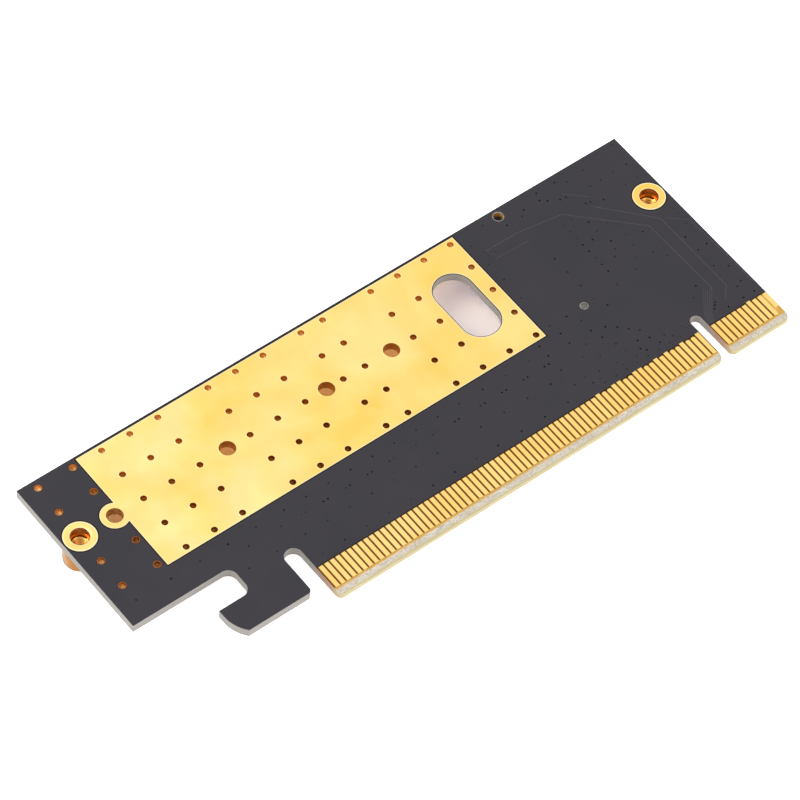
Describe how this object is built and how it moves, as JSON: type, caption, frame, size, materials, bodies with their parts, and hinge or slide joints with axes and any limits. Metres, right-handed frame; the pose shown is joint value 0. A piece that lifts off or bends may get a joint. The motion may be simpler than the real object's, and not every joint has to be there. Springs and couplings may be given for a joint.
{
  "type": "nvme adapter card",
  "caption": "Adapter card that seats a solid-state drive module and plugs into an expansion slot, with a gold heat pad and brass standoffs for a heatsink.",
  "frame": {"origin": "centre of the card's outline, at the lowest face of the socket on the component side, which is down", "axes": "+X along the edge contacts towards the bracket end, +Y from the contact edge up the card, +Z out of the card's back face"},
  "size_m": [0.1108, 0.041, 0.0058],
  "materials": {
    "laminate": "routed glass-fibre laminate, satin",
    "solder_mask": "black solder mask, satin",
    "heat_pad_gold": "gold plate over copper, satin",
    "contact_gold": "hard gold plate, satin",
    "lining_gold": "gold plated barrel",
    "standoff_brass": "turned brass",
    "socket_plastic": "moulded black thermoplastic",
    "spring_metal": "plated spring strip",
    "solder": "bright solder",
    "capacitor_ceramic": "fired ceramic, matt",
    "resistor_film": "glazed film on ceramic",
    "end_cap_tin": "tin plate",
    "case_resin": "moulded resin, matt",
    "lamp_base_resin": "white laminate",
    "lamp_lens_resin": "clear resin"
  },
  "bodies": {
    "root": {"circuit_board": "solder_mask", "heat_pad": "heat_pad_gold", "edge_contacts_back": "contact_gold", "edge_contacts_front": "contact_gold", "standoff_ring_tail": "lining_gold", "standoff_ring_bracket": "lining_gold", "standoff_tail": "standoff_brass", "standoff_bracket": "standoff_brass", "socket_housing": "socket_plastic", "socket_upper_contacts": "spring_metal", "socket_lower_contacts": "spring_metal", "socket_holddown_near_tongue": "end_cap_tin", "socket_holddown_near_top": "end_cap_tin", "bulk_capacitor_bodies": "capacitor_ceramic", "bulk_capacitor_end_caps": "end_cap_tin", "decoupling_capacitor_bodies": "capacitor_ceramic", "decoupling_capacitor_end_caps": "end_cap_tin", "resistor_bodies": "resistor_film", "resistor_end_caps": "end_cap_tin", "reservoir_capacitor_case": "case_resin", "reservoir_capacitor_leads": "end_cap_tin", "status_lamp_base": "lamp_base_resin", "status_lamp_lens": "lamp_lens_resin", "status_lamp_end_caps": "end_cap_tin"}
  },
  "joints": []
}
